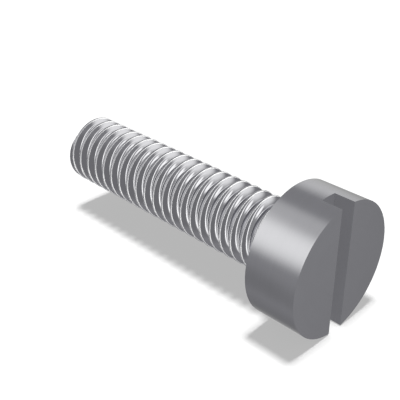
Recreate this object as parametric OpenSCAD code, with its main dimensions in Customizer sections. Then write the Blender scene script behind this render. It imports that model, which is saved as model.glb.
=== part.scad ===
// Slotted cheese head machine screw, fully threaded, as one turned and rolled piece.
// Units are millimetres. The screw stands on the slotted end of its head: z = 0 is the
// slotted face, the slot runs along X, and the shank points up along +Z.

/* [Thread] */
// Major diameter of the thread
thread_d = 2.5; // [2:0.1:3]
// Axial distance from one turn of the thread to the next
thread_pitch = 0.45; // [0.4:0.05:0.5]

/* [Shank] */
// Length from the underside of the head to the tip
shank_l = 10; // [4:1:12]
// Radius of the fillet where the neck meets the underside of the head
fillet_r = 0.2; // [0.2:0.05:0.3]
// Length of the plain neck between that fillet and the start of the thread
neck_l = 0.05; // [0.05:0.05:0.4]
// Turns that the thread takes to grow from the neck to its full form
runout_turns = 0.5; // [0.5:0.25:1.5]

/* [Head] */
// Diameter of the cheese head
head_d = 4.5; // [4:0.1:6]
// Height of the cheese head
head_h = 1.8; // [1.6:0.1:2.4]

/* [Slot] */
// Width of the driver slot
slot_w = 0.6; // [0.4:0.1:1]
// Depth of the driver slot below the slotted face
slot_depth = 0.7; // [0.4:0.1:0.9]

/* [Hidden] */

steel = [0.47, 0.47, 0.49];
// How far a cutting shape runs past the face that it cuts
overrun = 1;

// The 60 degree thread form is cut from a sharp triangle of this height
sharp_h = thread_pitch * sqrt(3) / 2;
crest_r = thread_d / 2;
pitch_r = crest_r - sharp_h * 3 / 8;
root_r = crest_r - sharp_h * 17 / 24;
// The root is rounded between its two tangent points on the flanks
root_round_r = sharp_h / 6;
root_half = root_round_r * cos(30);
root_tangent_r = root_r + root_round_r * (1 - sin(30));
crest_half = thread_pitch / 16;

// One pitch of the thread form as [axial offset, radius], from the middle of a root
FORM = [
    [-thread_pitch / 2, root_r],
    [-thread_pitch / 2 + root_half, root_tangent_r],
    [-crest_half, crest_r],
    [crest_half, crest_r],
    [thread_pitch / 2 - root_half, root_tangent_r]
];
// The form is placed at this many stations in each turn of the helix
turn_steps = 36;

tip_z = head_h + shank_l;
// The helix starts inside the head and runs on past the tip, where it is cut off flat
helix_start_z = head_h - thread_pitch * 3 / 4;
// Bearing of the crest at that height, which sets where the turns lie on the shank
helix_start_a = 195;
stations = turn_steps * ceil((tip_z - helix_start_z) / thread_pitch + 1);
// Height of the first station whose form lies clear of the plain neck
runout_z = head_h + fillet_r + neck_l + thread_pitch / 2;

// The fillet is sunk a little into the neck, so that it crosses the surface cleanly, and
// meets the head just outside the crests, so that a clamped plate clears the thread
fillet_axis_r = pitch_r + fillet_r * 0.9;

function station_z(i) = helix_start_z + thread_pitch * i / turn_steps;

// How much of the full thread depth there is at height z, from 0 to 1
function growth(z) = min(1, max(0, (z - runout_z) / (thread_pitch * runout_turns)));

// A form point, placed at station i on the right-handed helix
function helix_point(i, point) =
    let (
        angle = helix_start_a + 360 * i / turn_steps,
        r = pitch_r + (point[1] - pitch_r) * growth(station_z(i))
    )
    [r * cos(angle), r * sin(angle), station_z(i) + point[0]];

// Index of form point j at station i; past the last one comes the first, one turn on
function index(i, j) =
    j < len(FORM) ? i * len(FORM) + j : (i + turn_steps) * len(FORM);

// Triangles from a centre point to each edge of a closed rim
function fan(centre, rim) =
    [for (k = [0 : len(rim) - 1]) [centre, rim[k], rim[(k + 1) % len(rim)]]];

module helical_thread() {
    last = len(FORM) - 1;
    points = [
        for (i = [0 : stations], point = FORM) helix_point(i, point),
        [0, 0, station_z(0)],
        [0, 0, station_z(stations)]
    ];
    flanks = [
        for (i = [0 : stations - 1], j = [0 : last])
            if (j < last || i + 1 + turn_steps <= stations)
                each [
                    [index(i, j), index(i, j + 1), index(i + 1, j)],
                    [index(i + 1, j), index(i, j + 1), index(i + 1, j + 1)]
                ]
    ];
    start_rim = [
        for (i = [0 : turn_steps]) index(i, 0),
        for (j = [last : -1 : 1]) index(0, j)
    ];
    end_rim = [
        for (j = [0 : last - 1]) index(stations, j),
        for (i = [stations : -1 : stations - turn_steps]) index(i, last)
    ];
    polyhedron(
        points = points,
        faces = concat(
            flanks,
            fan(len(points) - 2, start_rim),
            fan(len(points) - 1, end_rim)
        )
    );
}

module shank() {
    difference() {
        helical_thread();
        translate([0, 0, tip_z]) cylinder(h = 2 * thread_pitch + overrun, r = thread_d);
    }
}

module head_blank() {
    rotate_extrude($fn = 128) {
        square([head_d / 2, head_h]);
        difference() {
            square([fillet_axis_r, head_h + fillet_r]);
            translate([fillet_axis_r, head_h + fillet_r]) circle(r = fillet_r, $fn = 64);
        }
    }
}

module driver_slot() {
    translate([-head_d / 2 - overrun, -slot_w / 2, -overrun])
        cube([head_d + 2 * overrun, slot_w, slot_depth + overrun]);
}

module screw() {
    color(steel) {
        difference() {
            head_blank();
            driver_slot();
        }
        shank();
    }
}

screw();
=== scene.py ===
"""Dresses the slotted cheese head screw: its steel, its fine thread, a plain studio and the camera.

All lengths are in metres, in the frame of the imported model: the screw stands on the slotted
face of its head at z = 0, the slot runs along X and the shank points up along +Z. Meshes are
first built in millimetres and then scaled, so that their fine detail keeps its precision.
"""

import logging
import math
from dataclasses import dataclass, field
from enum import Enum

import bmesh
import bpy
from mathutils import Matrix, Vector

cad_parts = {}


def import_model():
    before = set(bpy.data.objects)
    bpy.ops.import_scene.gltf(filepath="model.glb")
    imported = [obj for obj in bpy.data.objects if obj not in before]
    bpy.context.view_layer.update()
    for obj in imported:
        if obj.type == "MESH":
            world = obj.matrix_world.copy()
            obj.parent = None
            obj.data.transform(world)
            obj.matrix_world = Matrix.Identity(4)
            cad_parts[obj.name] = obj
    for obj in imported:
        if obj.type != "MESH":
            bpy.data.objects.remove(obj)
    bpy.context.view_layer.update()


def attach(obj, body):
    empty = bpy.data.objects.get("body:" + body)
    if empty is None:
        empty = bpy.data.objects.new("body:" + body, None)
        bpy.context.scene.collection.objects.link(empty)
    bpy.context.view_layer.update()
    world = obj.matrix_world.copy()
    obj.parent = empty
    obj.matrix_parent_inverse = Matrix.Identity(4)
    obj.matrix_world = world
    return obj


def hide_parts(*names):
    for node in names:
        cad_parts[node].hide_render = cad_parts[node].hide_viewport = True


MM = 0.001
PAINTED_LIGHT = "painted_light"
MATT = "matt"

log = logging.getLogger("screw")

Point = tuple[float, float]


def arc(centre: Point, radius: float, start_deg: float, end_deg: float, steps: int) -> list[Point]:
    """Points along an arc, with both of its ends.

    Args:
        centre: Middle of the arc.
        radius: Radius of the arc.
        start_deg: Angle of the first point.
        end_deg: Angle of the last point.
        steps: Number of segments.

    Returns:
        The points in order.
    """
    angles = [math.radians(start_deg + (end_deg - start_deg) * k / steps) for k in range(steps + 1)]
    return [(centre[0] + radius * math.cos(a), centre[1] + radius * math.sin(a)) for a in angles]


class Band(Enum):
    """Bands of the thread's form, from the root to the crest."""

    ROOT = "root"
    FLANK = "pressure flank"
    # The crest's edge carries a painted highlight line.
    EDGE = "edge of the crest on the pressure flank"
    # The crest is painted darker, as shade that dims its highlight.
    CREST = "crest, painted darker as shade"
    PLAIN = "clearance flank"


@dataclass(frozen=True)
class PaintedLightAndMatt:
    """The painted highlight or painted shade on a band of the thread or on the slot, and how rough it is.

    Attributes:
        painted_light: Painted highlight if positive, painted shade if negative: how much brighter than
            plain steel it is, or darker.
        matt: How much rougher than plain steel it is, or smoother if negative.
    """

    painted_light: float = 0.0
    matt: float = 0.0


class PaintedLightAndMattMarks:
    """Marks on the faces of a mesh that say how much light or shade is painted on each, and how rough
    each is.
    """

    def __init__(self, bm: bmesh.types.BMesh) -> None:
        """Adds the two values to the mesh's faces."""
        self.painted_light = bm.faces.layers.float.new(PAINTED_LIGHT)
        self.matt = bm.faces.layers.float.new(MATT)

    def mark(self, face: bmesh.types.BMFace, painted_light_and_matt: PaintedLightAndMatt, share: float = 1.0) -> None:
        """Marks a face with its painted light and roughness, or with a share of them."""
        face[self.painted_light] = painted_light_and_matt.painted_light * share
        face[self.matt] = painted_light_and_matt.matt * share


@dataclass(frozen=True)
class FormPoint:
    """One point of the thread's form.

    Attributes:
        offset: Place along the axis, from the middle of the crest.
        radius: Distance from the axis.
        painted_light_and_matt: Painted light or shade and roughness of the thread from there to the next
            point.
    """

    offset: float
    radius: float
    painted_light_and_matt: PaintedLightAndMatt


@dataclass(frozen=True)
class ThreadForm:
    """The 60 degree form of the screw's thread, in millimetres.

    Attributes:
        major_d: Diameter over the crests.
        pitch: Axial distance from one turn to the next.
        crest_round_r: Radius of the rolled edges of the crest.
        flank_crown: How far rolling makes the middle of the pressure flank stand proud.
        edge_share: Share of the flank that carries the crest edge's painted highlight.
        flank_steps: Segments in the pressure flank.
        root_steps: Segments in half of the rounded root.
        crest_steps: Segments in each rounded edge of the crest.
        painted_light_and_matt: Painted light or shade and roughness of each band of the form.
    """

    major_d: float = 2.5
    pitch: float = 0.45
    crest_round_r: float = 0.042
    flank_crown: float = 0.01
    edge_share: float = 0.04
    flank_steps: int = 8
    root_steps: int = 4
    crest_steps: int = 6
    painted_light_and_matt: dict[Band, PaintedLightAndMatt] = field(
        default_factory=lambda: {
            # Painted shade darkens the root.
            Band.ROOT: PaintedLightAndMatt(-0.5, 0.0),
            Band.FLANK: PaintedLightAndMatt(0.0, -0.15),
            # Painted highlight: a bright line along the crest's edge, which is also rougher.
            Band.EDGE: PaintedLightAndMatt(1.7, 0.25),
            # Painted shade dims the crest's highlight; the crest is also a little rougher.
            Band.CREST: PaintedLightAndMatt(-0.3, 0.1),
            Band.PLAIN: PaintedLightAndMatt(),
        }
    )

    @property
    def sharp_h(self) -> float:
        """Height of the sharp triangle that the form is cut from."""
        return self.pitch * math.sqrt(3) / 2

    @property
    def crest_r(self) -> float:
        """Radius of the flat crests."""
        return self.major_d / 2

    @property
    def pitch_r(self) -> float:
        """Radius where tooth and gap are equally wide, which the plain neck has too."""
        return self.crest_r - self.sharp_h * 3 / 8

    @property
    def root_r(self) -> float:
        """Radius at the bottom of the root."""
        return self.crest_r - self.sharp_h * 17 / 24

    def outline(self) -> list[FormPoint]:
        """One pitch of the form, from a root to just before the next.

        The pressure flank, which faces the head, comes first.

        Returns:
            The points in order towards the tip.
        """
        root_round_r = self.sharp_h / 6
        root = arc((-self.pitch / 2, self.root_r + root_round_r), root_round_r, -90, -30, self.root_steps)
        inset = self.crest_round_r * math.tan(math.radians(30))
        crest_centre = (inset - self.pitch / 16, self.crest_r - self.crest_round_r)
        crest = arc(crest_centre, self.crest_round_r, 150, 90, self.crest_steps)
        low, high = root[-1], crest[0]
        points = [(point, Band.ROOT) for point in root[:-1]]
        for k in range(self.flank_steps):
            share = k / self.flank_steps * (1 - self.edge_share)
            points.append((self._on_flank(low, high, share), Band.FLANK))
        points.append((self._on_flank(low, high, 1 - self.edge_share), Band.EDGE))
        half = self.crest_steps // 2
        points += [(point, Band.EDGE) for point in crest[:half]]
        points += [(point, Band.CREST) for point in crest[half:]]
        points += [((-u, r), Band.PLAIN) for u, r in reversed(crest)]
        points += [((-u, r), Band.ROOT) for u, r in reversed(root[1:])]
        return [FormPoint(u, r, self.painted_light_and_matt[band]) for (u, r), band in points]

    def _on_flank(self, low: Point, high: Point, share: float) -> Point:
        """A point of the crowned pressure flank.

        Args:
            low: Where the flank leaves the root.
            high: Where it meets the crest's edge.
            share: How far up the flank the point lies.

        Returns:
            The point's offset and radius.
        """
        proud = 4 * self.flank_crown * share * (1 - share)
        outward = (-math.cos(math.radians(30)), math.sin(math.radians(30)))
        return tuple(low[k] + (high[k] - low[k]) * share + outward[k] * proud for k in (0, 1))


@dataclass
class Screw:
    """The one-piece screw: slotted cheese head, fillet, neck and rolled thread, in millimetres.

    Attributes:
        form: The thread's form.
        head_d: Diameter of the head.
        head_h: Height of the head.
        slot_w: Width of the driver slot.
        slot_depth: Depth of the driver slot.
        shank_l: Length under the head.
        fillet_r: Radius of the fillet under the head.
        neck_l: Length of the plain neck above the fillet.
        runout_turns: Turns in which the thread grows to its full form.
        helix_bearing_deg: Bearing of the crest that lies three quarters of a pitch inside the head.
        slot_shade_and_matt: Painted shade and roughness of the slot's walls and floor.
        turn_steps: Stations in one turn of the thread, and points round the head.
        fillet_steps: Segments in the fillet.
        corner_room: Share of a step round the head that a corner of the slot keeps free.
        spare_turns: Turns of thread past the tip, where it is cut off.
        sharp_deg: Turn between two faces from which their edge looks sharp.
    """

    form: ThreadForm = field(default_factory=ThreadForm)
    head_d: float = 4.5
    head_h: float = 1.8
    slot_w: float = 0.6
    slot_depth: float = 0.7
    shank_l: float = 10.0
    fillet_r: float = 0.2
    neck_l: float = 0.05
    runout_turns: float = 0.5
    helix_bearing_deg: float = 195.0
    # Painted shade darkens the slot's walls and floor, which are also a little rougher.
    slot_shade_and_matt: PaintedLightAndMatt = PaintedLightAndMatt(-0.12, 0.08)
    turn_steps: int = 72
    fillet_steps: int = 8
    corner_room: float = 0.3
    spare_turns: float = 1.5
    sharp_deg: float = 32.0

    @property
    def tip_z(self) -> float:
        """Height of the flat tip."""
        return self.head_h + self.shank_l

    @property
    def helix_z(self) -> float:
        """Height inside the head that the thread's bearing is given for."""
        return self.head_h - self.form.pitch * 3 / 4

    @property
    def neck_z(self) -> float:
        """Height where the fillet has run into the neck."""
        return self.head_h + self.fillet_r

    @property
    def thread_z(self) -> float:
        """Height of the first station whose form lies clear of the plain neck."""
        return self.neck_z + self.neck_l + self.form.pitch / 2

    @property
    def even(self) -> list[float]:
        """Angles of evenly spaced points round the axis."""
        return [k * 2 * math.pi / self.turn_steps for k in range(self.turn_steps)]

    def growth(self, z: float) -> float:
        """Share of the full thread depth for a station at height z."""
        return min(1.0, max(0.0, (z - self.thread_z) / (self.form.pitch * self.runout_turns)))

    def build(self) -> bpy.types.Object:
        """Makes the screw's mesh as one closed surface.

        Returns:
            The screw as an object at the frame's origin.
        """
        bm = bmesh.new()
        marks = PaintedLightAndMattMarks(bm)
        base_ring = self._add_head(bm, marks)
        self._add_shank(bm, base_ring, marks)
        bmesh.ops.recalc_face_normals(bm, faces=bm.faces)
        self._cut_tip(bm, marks)
        for face in bm.faces:
            face.smooth = len(face.verts) <= 4
        self._mark_sharp_edges(bm)
        bmesh.ops.scale(bm, vec=Vector((MM, MM, MM)), verts=bm.verts)
        mesh = bpy.data.meshes.new("screw_body")
        bm.to_mesh(mesh)
        bm.free()
        screw = bpy.data.objects.new("screw_body", mesh)
        bpy.context.scene.collection.objects.link(screw)
        return screw

    def _ring(self, bm: bmesh.types.BMesh, radius: float, z: float, angles: list[float]) -> list:
        """Adds a level ring of vertices at the given angles."""
        return [bm.verts.new((radius * math.cos(a), radius * math.sin(a), z)) for a in angles]

    def _add_head(self, bm: bmesh.types.BMesh, marks: PaintedLightAndMattMarks) -> list:
        """Adds the slotted head and the fillet under it.

        Args:
            bm: The mesh in the making.
            marks: Takes the painted shade and roughness of the slot's faces.

        Returns:
            The open ring of vertices where the fillet meets the neck.
        """
        head_r = self.head_d / 2
        mouth = math.asin(self.slot_w / 2 / head_r)
        corners = [mouth, math.pi - mouth, math.pi + mouth, 2 * math.pi - mouth]
        room = self.corner_room * 2 * math.pi / self.turn_steps
        rim = sorted([a for a in self.even if min(abs(a - c) for c in corners) > room] + corners)
        top = self._ring(bm, head_r, self.head_h, rim)
        sill = self._ring(bm, head_r, self.slot_depth, rim)
        face = [
            None
            if abs(math.sin(a)) < math.sin(mouth) - 1e-6
            else bm.verts.new((head_r * math.cos(a), head_r * math.sin(a), 0))
            for a in rim
        ]
        count = len(rim)
        for k in range(count):
            n = (k + 1) % count
            bm.faces.new((sill[k], sill[n], top[n], top[k]))
            if face[k] and face[n] and not self._across_mouth(rim[k], rim[n], mouth):
                bm.faces.new((face[k], face[n], sill[n], sill[k]))
        self._add_slotted_face(bm, marks, face, sill, [rim.index(c) for c in corners])
        return self._add_fillet(bm, top, rim)

    def _add_slotted_face(
        self, bm: bmesh.types.BMesh, marks: PaintedLightAndMattMarks, face: list, sill: list, corners: list[int]
    ) -> None:
        """Adds the two halves of the slotted face, and the slot's walls and floor.

        Args:
            bm: The mesh in the making.
            marks: Takes the painted shade and roughness of the slot's walls and floor.
            face: The rim's vertices at the face, or None where the slot is open.
            sill: The rim's vertices at the slot's depth.
            corners: Where on the rim the four corners of the slot's mouths are.
        """
        first, second, third, fourth = corners
        bm.faces.new(face[first : second + 1])
        bm.faces.new(face[third : fourth + 1])
        for around in (
            (face[first], face[second], sill[second], sill[first]),
            (face[third], face[fourth], sill[fourth], sill[third]),
            sill[fourth:] + sill[: first + 1] + sill[second : third + 1],
        ):
            marks.mark(bm.faces.new(around), self.slot_shade_and_matt)

    def _add_fillet(self, bm: bmesh.types.BMesh, top: list, rim: list[float]) -> list:
        """Adds the head's underside and the fillet that runs into the neck.

        Args:
            bm: The mesh in the making.
            top: The vertices of the head's upper edge.
            rim: Their angles.

        Returns:
            The open ring of vertices where the fillet meets the neck.
        """
        centre = (self.form.pitch_r + self.fillet_r, self.head_h + self.fillet_r)
        fillet = arc(centre, self.fillet_r, -90, -180, self.fillet_steps)
        rings = [self._ring(bm, r, z, self.even) for r, z in fillet]
        self._zip_rings(bm, (top, rim), (rings[0], self.even))
        for low, high in zip(rings, rings[1:]):
            for k in range(self.turn_steps):
                n = (k + 1) % self.turn_steps
                bm.faces.new((low[k], low[n], high[n], high[k]))
        return rings[-1]

    @staticmethod
    def _across_mouth(a: float, b: float, mouth: float) -> bool:
        """Whether the step from angle a to angle b crosses a mouth of the slot."""
        middle = (a + b) / 2 if b > a else (a + b + 2 * math.pi) / 2
        return abs(math.sin(middle)) < math.sin(mouth)

    @staticmethod
    def _zip_rings(bm: bmesh.types.BMesh, outer: tuple[list, list], inner: tuple[list, list]) -> None:
        """Joins two rings with different numbers of vertices by a band of triangles.

        Args:
            bm: The mesh in the making.
            outer: The outer ring's vertices and their angles, which start at zero.
            inner: The same for the inner ring.
        """
        (far, far_at), (near, near_at) = outer, inner
        i = j = 0
        while i < len(far) or j < len(near):
            next_far = far_at[i + 1] if i + 1 < len(far) else 2 * math.pi + i - len(far) + 1
            next_near = near_at[j + 1] if j + 1 < len(near) else 2 * math.pi + j - len(near) + 1
            if next_far <= next_near:
                bm.faces.new((far[i], far[(i + 1) % len(far)], near[j % len(near)]))
                i += 1
            else:
                bm.faces.new((near[(j + 1) % len(near)], near[j], far[i % len(far)]))
                j += 1

    def _add_shank(self, bm: bmesh.types.BMesh, base_ring: list, marks: PaintedLightAndMattMarks) -> None:
        """Adds the neck and the helical thread, from the fillet's ring to past the tip.

        Args:
            bm: The mesh in the making.
            base_ring: The ring of vertices that the neck starts from.
            marks: Takes the painted light or shade and roughness of its faces.
        """
        form, steps = self.form, self.turn_steps
        outline = form.outline()
        count = len(outline)
        start_z = self.thread_z
        turns = self.helix_bearing_deg / 360 + (start_z - self.helix_z) / form.pitch
        first = round(steps * turns) % steps
        stations = steps * math.ceil((self.tip_z - start_z) / form.pitch + self.spare_turns)
        grid = []
        for i in range(stations + 1):
            angle = 2 * math.pi * (i + first) / steps
            z = start_z + form.pitch * i / steps
            share = self.growth(z)
            row = []
            for point in outline:
                r = form.pitch_r + (point.radius - form.pitch_r) * share
                row.append(bm.verts.new((r * math.cos(angle), r * math.sin(angle), z + point.offset)))
            grid.append(row)
        for i in range(stations):
            share = self.growth(start_z + form.pitch * i / steps)
            for j in range(count - 1):
                face = bm.faces.new((grid[i][j], grid[i + 1][j], grid[i + 1][j + 1], grid[i][j + 1]))
                marks.mark(face, outline[j].painted_light_and_matt, share)
            if i + 1 + steps <= stations:
                face = bm.faces.new(
                    (grid[i][-1], grid[i + 1][-1], grid[i + 1 + steps][0], grid[i + steps][0])
                )
                marks.mark(face, outline[-1].painted_light_and_matt, share)
        base = base_ring[first:] + base_ring[:first]
        for i in range(steps - 1):
            bm.faces.new((base[i], base[i + 1], grid[i + 1][0], grid[i][0]))
        seam = [base[-1], base[0]] + grid[0] + [grid[steps][0], grid[steps - 1][0]]
        bm.faces.new(seam)

    def _cut_tip(self, bm: bmesh.types.BMesh, marks: PaintedLightAndMattMarks) -> None:
        """Cuts the thread off flat at the tip and closes it."""
        cut = bmesh.ops.bisect_plane(
            bm,
            geom=bm.verts[:] + bm.edges[:] + bm.faces[:],
            dist=1e-5,
            plane_co=(0, 0, self.tip_z),
            plane_no=(0, 0, 1),
            clear_outer=True,
        )
        rim = [e for e in cut["geom_cut"] if isinstance(e, bmesh.types.BMEdge)]
        for cap in bmesh.ops.holes_fill(bm, edges=rim, sides=0)["faces"]:
            marks.mark(cap, PaintedLightAndMatt())

    def _mark_sharp_edges(self, bm: bmesh.types.BMesh) -> None:
        """Marks the edges between faces that turn far as sharp."""
        limit = math.radians(self.sharp_deg)
        for edge in bm.edges:
            if len(edge.link_faces) == 2:
                edge.smooth = edge.calc_face_angle(0.0) < limit


class Nodes:
    """Short ways to add nodes to a tree."""

    def __init__(self, tree: bpy.types.NodeTree) -> None:
        """Keeps the tree that the nodes go into."""
        self.tree = tree

    def feed(self, socket: bpy.types.NodeSocket, value: object) -> None:
        """Links a socket to another node's output, or sets it to a constant."""
        if isinstance(value, bpy.types.NodeSocket):
            self.tree.links.new(value, socket)
        else:
            socket.default_value = value

    def math(self, operation: str, *values: object) -> bpy.types.NodeSocket:
        """A Math node's result."""
        node = self.tree.nodes.new("ShaderNodeMath")
        node.operation = operation
        for socket, value in zip(node.inputs, values):
            self.feed(socket, value)
        return node.outputs[0]

    def vector(self, operation: str, output: str, *values: object) -> bpy.types.NodeSocket:
        """A Vector Math node's result, from the named output."""
        node = self.tree.nodes.new("ShaderNodeVectorMath")
        node.operation = operation
        for socket, value in zip(node.inputs, values):
            self.feed(socket, value)
        return node.outputs[output]

    def ramp(
        self, value: object, low: float, high: float, to_low: float, to_high: float
    ) -> bpy.types.NodeSocket:
        """Maps a value between two limits to two others, with soft ends."""
        node = self.tree.nodes.new("ShaderNodeMapRange")
        node.interpolation_type = "SMOOTHSTEP"
        for name, given in (
            ("Value", value),
            ("From Min", low),
            ("From Max", high),
            ("To Min", to_low),
            ("To Max", to_high),
        ):
            self.feed(node.inputs[name], given)
        return node.outputs["Result"]

    def attribute(self, name: str) -> bpy.types.NodeSocket:
        """The value of one of the mesh's attributes."""
        node = self.tree.nodes.new("ShaderNodeAttribute")
        node.attribute_name = name
        return node.outputs["Fac"]


@dataclass(frozen=True)
class Steel:
    """Turned and rolled steel: satin, with fine lines round the axis and faint clouds.

    Attributes:
        colour: Base colour of the steel.
        painted_light_colour: Neutral colour added for a painted highlight and taken off for painted
            shade.
        edge_tint: Colour of the metal seen at a glancing angle.
        roughness: Overall roughness.
        lines_per_mm: How close the turning lines are.
        line_height: Height of the turning lines, in millimetres.
        line_tone: How much the turning lines change the colour.
        line_matt: How much they change the roughness.
        clouds_per_mm: How close the clouds are.
        cloud_tone: How much the clouds change the colour.
        cloud_matt: How much they change the roughness.
    """

    colour: tuple[float, float, float] = (0.185, 0.185, 0.2)
    painted_light_colour: tuple[float, float, float] = (0.185, 0.185, 0.187)
    edge_tint: tuple[float, float, float] = (0.5, 0.5, 0.5)
    roughness: float = 0.22
    lines_per_mm: float = 22.0
    line_height: float = 0.00005
    line_tone: float = 0.08
    line_matt: float = 0.03
    clouds_per_mm: float = 0.9
    cloud_tone: float = 0.08
    cloud_matt: float = 0.03

    def material(self) -> bpy.types.Material:
        """Makes the steel's material."""
        material = bpy.data.materials.new("screw_steel")
        material.use_nodes = True
        tree = material.node_tree
        nodes = Nodes(tree)
        shader = tree.nodes["Principled BSDF"]
        shader.inputs["Metallic"].default_value = 1.0
        shader.inputs["Specular Tint"].default_value = (*self.edge_tint, 1)

        place = tree.nodes.new("ShaderNodeTexCoord").outputs["Object"]
        lines = self._lines(nodes, place)
        noise = tree.nodes.new("ShaderNodeTexNoise")
        nodes.feed(noise.inputs["Vector"], place)
        noise.inputs["Scale"].default_value = self.clouds_per_mm / MM
        noise.inputs["Detail"].default_value = 3.0
        clouds = noise.outputs[0]

        line_tone = nodes.math("MULTIPLY_ADD", lines, self.line_tone, 1 - self.line_tone / 2)
        cloud_tone = nodes.math("MULTIPLY_ADD", clouds, self.cloud_tone, 1 - self.cloud_tone / 2)
        tone = nodes.math("MULTIPLY", line_tone, cloud_tone)
        # Adds the painted highlights and painted shade of the thread and slot to the steel's colour.
        colour_with_painted_light = nodes.vector("MULTIPLY_ADD", "Vector", nodes.attribute(PAINTED_LIGHT), self.painted_light_colour, self.colour)
        nodes.feed(shader.inputs["Base Color"], nodes.vector("MULTIPLY", "Vector", colour_with_painted_light, tone))

        least = self.roughness - (self.line_matt + self.cloud_matt) / 2
        rough = nodes.math("MULTIPLY_ADD", lines, self.line_matt, least)
        rough = nodes.math("MULTIPLY_ADD", clouds, self.cloud_matt, rough)
        rough = nodes.math("ADD", rough, nodes.attribute(MATT))
        nodes.feed(shader.inputs["Roughness"], rough)
        bump = tree.nodes.new("ShaderNodeBump")
        bump.inputs["Distance"].default_value = self.line_height * MM
        nodes.feed(bump.inputs["Height"], lines)
        nodes.feed(shader.inputs["Normal"], bump.outputs["Normal"])
        return material

    def _lines(self, nodes: Nodes, place: bpy.types.NodeSocket) -> bpy.types.NodeSocket:
        """Fine lines that run round the screw's axis, as turning and rolling leave them.

        Args:
            nodes: Adds the nodes.
            place: Socket with the place on the screw, in metres.

        Returns:
            Socket with a value around one half.
        """
        flat = nodes.vector("MULTIPLY", "Vector", place, (1 / MM, 1 / MM, 0.0))
        radius = nodes.vector("LENGTH", "Value", flat)
        heading = nodes.vector("NORMALIZE", "Vector", flat)
        split = nodes.tree.nodes.new("ShaderNodeSeparateXYZ")
        nodes.feed(split.inputs[0], heading)
        height = nodes.tree.nodes.new("ShaderNodeSeparateXYZ")
        nodes.feed(height.inputs[0], place)
        joined = nodes.tree.nodes.new("ShaderNodeCombineXYZ")
        nodes.feed(joined.inputs[0], nodes.math("MULTIPLY", radius, self.lines_per_mm))
        nodes.feed(joined.inputs[1], nodes.math("MULTIPLY", height.outputs[2], self.lines_per_mm / MM))
        nodes.feed(joined.inputs[2], split.outputs[0])
        noise = nodes.tree.nodes.new("ShaderNodeTexNoise")
        noise.noise_dimensions = "4D"
        nodes.feed(noise.inputs["Vector"], joined.outputs[0])
        nodes.feed(noise.inputs["W"], split.outputs[1])
        noise.inputs["Scale"].default_value = 1.0
        noise.inputs["Detail"].default_value = 2.0
        return noise.outputs[0]


@dataclass(frozen=True)
class Softbox:
    """A soft patch of light in the studio's surroundings.

    Attributes:
        name: What the light is called.
        direction: Where it stands, seen from the screw.
        along: Direction in which it is long.
        half_width_deg: Half its width.
        half_length_deg: Half its length.
        strength: How much brighter it is than the surroundings.
        core: Share of the box that is fully bright.
    """

    name: str
    direction: tuple[float, float, float]
    along: tuple[float, float, float]
    half_width_deg: float
    half_length_deg: float
    strength: float
    core: float = 0.0

    def add(self, nodes: Nodes, view: bpy.types.NodeSocket) -> bpy.types.NodeSocket:
        """Adds the nodes that give this light's brightness in a direction.

        Args:
            nodes: Adds nodes to the world's tree.
            view: Socket with the direction looked in.

        Returns:
            Socket with the brightness.
        """
        centre = Vector(self.direction).normalized()
        along = Vector(self.along)
        along = (along - centre * along.dot(centre)).normalized()
        across = centre.cross(along)
        squares = []
        for axis, half in ((along, self.half_length_deg), (across, self.half_width_deg)):
            place = nodes.vector("DOT_PRODUCT", "Value", view, axis / math.sin(math.radians(half)))
            squares.append(nodes.math("MULTIPLY", place, place))
        away = nodes.math("ADD", *squares)
        lit = nodes.ramp(away, self.core, 1.0, self.strength, 0.0)
        front = nodes.math("GREATER_THAN", nodes.vector("DOT_PRODUCT", "Value", view, centre), 0.0)
        return nodes.math("MULTIPLY", lit, front)


@dataclass(frozen=True)
class Hoop:
    """A thin bent tube lamp in the studio's surroundings, which draws a line along the thread.

    Attributes:
        name: What the light is called.
        direction: Where the middle of its bend lies, seen from the screw.
        radius_deg: How far the tube is from that middle.
        half_thickness_deg: Half the tube's thickness.
        lit_towards: Direction of the middle of its lit stretch.
        half_lit_deg: How far the light reaches from there.
        strength: How much brighter it is than the surroundings.
    """

    name: str
    direction: tuple[float, float, float]
    radius_deg: float
    half_thickness_deg: float
    lit_towards: tuple[float, float, float]
    half_lit_deg: float
    strength: float

    def add(self, nodes: Nodes, view: bpy.types.NodeSocket) -> bpy.types.NodeSocket:
        """Adds the nodes that give this light's brightness in a direction.

        Args:
            nodes: Adds nodes to the world's tree.
            view: Socket with the direction looked in.

        Returns:
            Socket with the brightness.
        """
        radius, half = math.radians(self.radius_deg), math.radians(self.half_thickness_deg)
        place = nodes.vector("DOT_PRODUCT", "Value", view, Vector(self.direction).normalized())
        outer = nodes.ramp(place, math.cos(radius + half), math.cos(radius), 0.0, self.strength)
        inner = nodes.ramp(place, math.cos(radius), math.cos(radius - half), 1.0, 0.0)
        along = nodes.vector("DOT_PRODUCT", "Value", view, Vector(self.lit_towards).normalized())
        ends = nodes.ramp(along, math.cos(math.radians(self.half_lit_deg)), 1.0, 0.0, 1.0)
        return nodes.math("MULTIPLY", nodes.math("MULTIPLY", outer, inner), ends)


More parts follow.
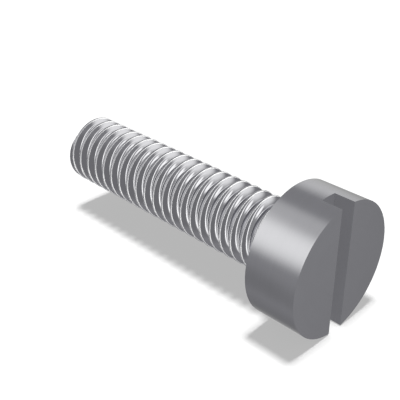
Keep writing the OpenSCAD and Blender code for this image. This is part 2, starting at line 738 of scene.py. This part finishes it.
@dataclass
class Studio:
    """White surroundings with soft lights, the floor that takes the shadow, and the camera.

    The photograph shows the screw lying along the floor, so its up direction is +X here.

    Attributes:
        lights: The soft lights that the steel shows.
        cards: The dark cards that the steel shows.
        light_colour: Colour of the soft lights.
        floor_gap: Clearance between the head's side and the floor.
        floor_side: Length and width of each floor.
        floor_grey: How much of a lamp's light a floor throws back.
        shade: Brightness that a floor keeps in full shadow.
        sun_strength: Strength of the lamp over each floor, which outshines white.
        sun_angle_deg: Apparent size of those lamps, which sets how soft the shadow is.
        look_at: Point that the camera looks at.
        camera_distance: Distance from that point.
        azimuth_deg: Camera's bearing round the photograph's vertical, from the head's end.
        elevation_deg: Camera's height above the photograph's horizon.
        view_angle_deg: Camera's field of view.
    """

    lights: tuple[Softbox | Hoop, ...] = (
        Softbox("left_box", (0.493, -0.617, 0.61), (0, 0, 1), 33, 40, 2.9),
        Softbox("top_box", (0.784, -0.096, 0.61), (0, 0, 1), 16, 40, 1.0),
        Softbox("rear_box", (0.2, 0.765, 0.61), (0, 0, 1), 29, 28, 2.05),
        Softbox("front_box", (-0.1, -0.98, -0.1), (0.99, -0.1, 0), 24, 75, 1.6, 0.4),
        Softbox("right_box", (0.40, 0.78, -0.49), (0, 0, 1), 30, 28, 2.9),
        Softbox("tip_box", (-0.5, 0.1, 0.86), (0, 0, 1), 25, 25, 4.0, 0.3),
        Softbox("base_box", (-0.47, -0.05, -0.88), (1, -0.15, 0), 8, 18, 1.3),
        Softbox("foot_box", (-0.6, -0.72, -0.33), (0, 0, 1), 22, 24, 3.0, 0.2),
        Softbox("crest_box", (0.45, 0.88, 0.05), (0, 0, 1), 25, 25, 1.4, 0.2),
        Softbox("face_box", (-0.5, 0.61, -0.61), (0, 0, 1), 25, 25, 0.12, 0.3),
        Softbox("high_box", (0.222, 0.445, -0.867), (0.31, 0.95, 0), 7, 15, 4.4),
        Softbox("panel", (-0.05, 0.17, -0.98), (1, 0.6, 0), 14, 24, 0.4, 0.5),
        Hoop("hoop", (-0.224, 0.481, -0.848), 37.0, 2.8, (0.0, -0.02, -1.0), 55, 6.5),
    )
    cards: tuple[Softbox, ...] = (
        Softbox("end_card", (-0.14, -0.42, -0.9), (0, 0, 1), 50, 50, -0.24, 0.5),
        Softbox("low_card", (-0.5, -0.61, 0.61), (0, 0, 1), 23, 24, -0.24),
    )
    light_colour: tuple[float, float, float] = (1.0, 1.0, 0.935)
    floor_gap: float = 0.02 * MM
    floor_side: float = 600 * MM
    floor_grey: float = 0.05
    shade: float = 0.44
    sun_strength: float = 40.0
    sun_angle_deg: float = 11.0
    look_at: tuple[float, float, float] = (0.0, 0.0, 5.9 * MM)
    camera_distance: float = 25.73 * MM
    azimuth_deg: float = 45.0
    elevation_deg: float = 30.0
    view_angle_deg: float = 29.9

    def build(self, screw: Screw) -> None:
        """Sets up the world, the floors, the lamps and the camera."""
        self._add_world()
        beside = Vector((-screw.head_d / 2 * MM - self.floor_gap, 0, 0))
        lying = self._add_floor("floor_lying", beside, Vector((1, 0, 0)))
        below = Vector((0, 0, -self.floor_gap))
        standing = self._add_floor("floor_standing", below, Vector((0, 0, 1)))
        self._add_sun("sun_lying", Vector((1, 0, 0)), lying)
        self._add_sun("sun_standing", Vector((0.25, -0.2, 1)), standing)
        self._add_camera()

    def _add_world(self) -> None:
        """Makes the white surroundings, with soft lights and cards where reflections look."""
        world = bpy.data.worlds.new("studio")
        bpy.context.scene.world = world
        world.use_nodes = True
        tree = world.node_tree
        nodes = Nodes(tree)
        view = tree.nodes.new("ShaderNodeTexCoord").outputs["Generated"]
        in_steel = tree.nodes.new("ShaderNodeLightPath").outputs["Is Glossy Ray"]
        white = tree.nodes["Background"]
        white.inputs["Color"].default_value = (1, 1, 1, 1)
        shade = self._total(nodes, view, self.cards)
        nodes.feed(white.inputs["Strength"], nodes.math("MULTIPLY_ADD", shade, in_steel, 1.0))
        glow = tree.nodes.new("ShaderNodeBackground")
        glow.inputs["Color"].default_value = (*self.light_colour, 1)
        light = self._total(nodes, view, self.lights)
        nodes.feed(glow.inputs["Strength"], nodes.math("MULTIPLY", light, in_steel))
        both = tree.nodes.new("ShaderNodeAddShader")
        nodes.feed(both.inputs[0], white.outputs[0])
        nodes.feed(both.inputs[1], glow.outputs[0])
        nodes.feed(tree.nodes["World Output"].inputs["Surface"], both.outputs[0])

    @staticmethod
    def _total(
        nodes: Nodes, view: bpy.types.NodeSocket, lights: tuple[Softbox | Hoop, ...]
    ) -> bpy.types.NodeSocket:
        """Sums the brightness of several lights or cards in a direction."""
        total = lights[0].add(nodes, view)
        for light in lights[1:]:
            total = nodes.math("ADD", total, light.add(nodes, view))
        return total

    def _add_floor(self, name: str, centre: Vector, up: Vector) -> bpy.types.Object:
        """Adds a floor that shows from above only, so that it hides nothing from behind.

        Args:
            name: The floor's name.
            centre: Its middle.
            up: The side that it shows from.

        Returns:
            The floor.
        """
        half = self.floor_side / 2
        mesh = bpy.data.meshes.new(name)
        corners = [(-half, -half, 0), (half, -half, 0), (half, half, 0), (-half, half, 0)]
        mesh.from_pydata(corners, [], [(0, 1, 2, 3)])
        floor = bpy.data.objects.new(name, mesh)
        floor.matrix_world = Matrix.Translation(centre) @ up.to_track_quat("Z", "Y").to_matrix().to_4x4()
        bpy.context.scene.collection.objects.link(floor)
        floor.visible_diffuse = False
        floor.visible_shadow = False
        floor.visible_glossy = False
        mesh.materials.append(self._floor_material(name + "_white"))
        return floor

    def _floor_material(self, name: str) -> bpy.types.Material:
        """White that keeps a share of its brightness in shadow and has no back."""
        material = bpy.data.materials.new(name)
        material.use_nodes = True
        tree = material.node_tree
        tree.nodes.clear()
        out = tree.nodes.new("ShaderNodeOutputMaterial")
        lit = tree.nodes.new("ShaderNodeBsdfDiffuse")
        lit.inputs["Color"].default_value = (self.floor_grey, self.floor_grey, self.floor_grey, 1)
        glow = tree.nodes.new("ShaderNodeEmission")
        glow.inputs["Strength"].default_value = self.shade
        both = tree.nodes.new("ShaderNodeAddShader")
        tree.links.new(lit.outputs[0], both.inputs[0])
        tree.links.new(glow.outputs[0], both.inputs[1])
        clear = tree.nodes.new("ShaderNodeBsdfTransparent")
        side = tree.nodes.new("ShaderNodeNewGeometry")
        mix = tree.nodes.new("ShaderNodeMixShader")
        tree.links.new(side.outputs["Backfacing"], mix.inputs[0])
        tree.links.new(both.outputs[0], mix.inputs[1])
        tree.links.new(clear.outputs[0], mix.inputs[2])
        tree.links.new(mix.outputs[0], out.inputs["Surface"])
        return material

    def _add_sun(self, name: str, towards: Vector, floor: bpy.types.Object) -> None:
        """Adds a lamp high over a floor that lights only that floor.

        Args:
            name: The lamp's name.
            towards: Direction from the screw to the lamp.
            floor: The floor that the lamp lights.
        """
        lamp = bpy.data.lights.new(name, "SUN")
        lamp.energy = self.sun_strength
        lamp.angle = math.radians(self.sun_angle_deg)
        sun = bpy.data.objects.new(name, lamp)
        sun.rotation_mode = "QUATERNION"
        sun.rotation_quaternion = towards.to_track_quat("Z", "Y")
        bpy.context.scene.collection.objects.link(sun)
        lit = bpy.data.collections.new(name + "_lights")
        lit.objects.link(floor)
        sun.light_linking.receiver_collection = lit

    def _add_camera(self) -> None:
        """Adds the camera at the photograph's viewing angle."""
        azimuth, elevation = math.radians(self.azimuth_deg), math.radians(self.elevation_deg)
        back = Vector(
            (
                math.sin(elevation),
                -math.sin(azimuth) * math.cos(elevation),
                -math.cos(azimuth) * math.cos(elevation),
            )
        )
        right = Vector((1, 0, 0)).cross(back).normalized()
        up = back.cross(right)
        eye = Vector(self.look_at) + back * self.camera_distance
        data = bpy.data.cameras.new("photo_camera")
        data.angle = math.radians(self.view_angle_deg)
        data.clip_start = 1 * MM
        data.clip_end = 1.0
        camera = bpy.data.objects.new("photo_camera", data)
        turn = Matrix((right, up, back)).transposed().to_4x4()
        camera.matrix_world = Matrix.Translation(eye) @ turn
        bpy.context.scene.collection.objects.link(camera)
        bpy.context.scene.camera = camera


def main() -> None:
    """Builds the screw and the studio in order."""
    logging.basicConfig(level=logging.INFO, format="%(name)s: %(message)s")
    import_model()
    bpy.context.scene.view_settings.view_transform = "Standard"

    screw = Screw()
    body = screw.build()
    body.data.materials.append(Steel().material())
    body.visible_glossy = False
    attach(body, "root")
    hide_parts("screw")
    log.info("screw_body has %d faces", len(body.data.polygons))

    Studio().build(screw)


if __name__ == "__main__":
    main()
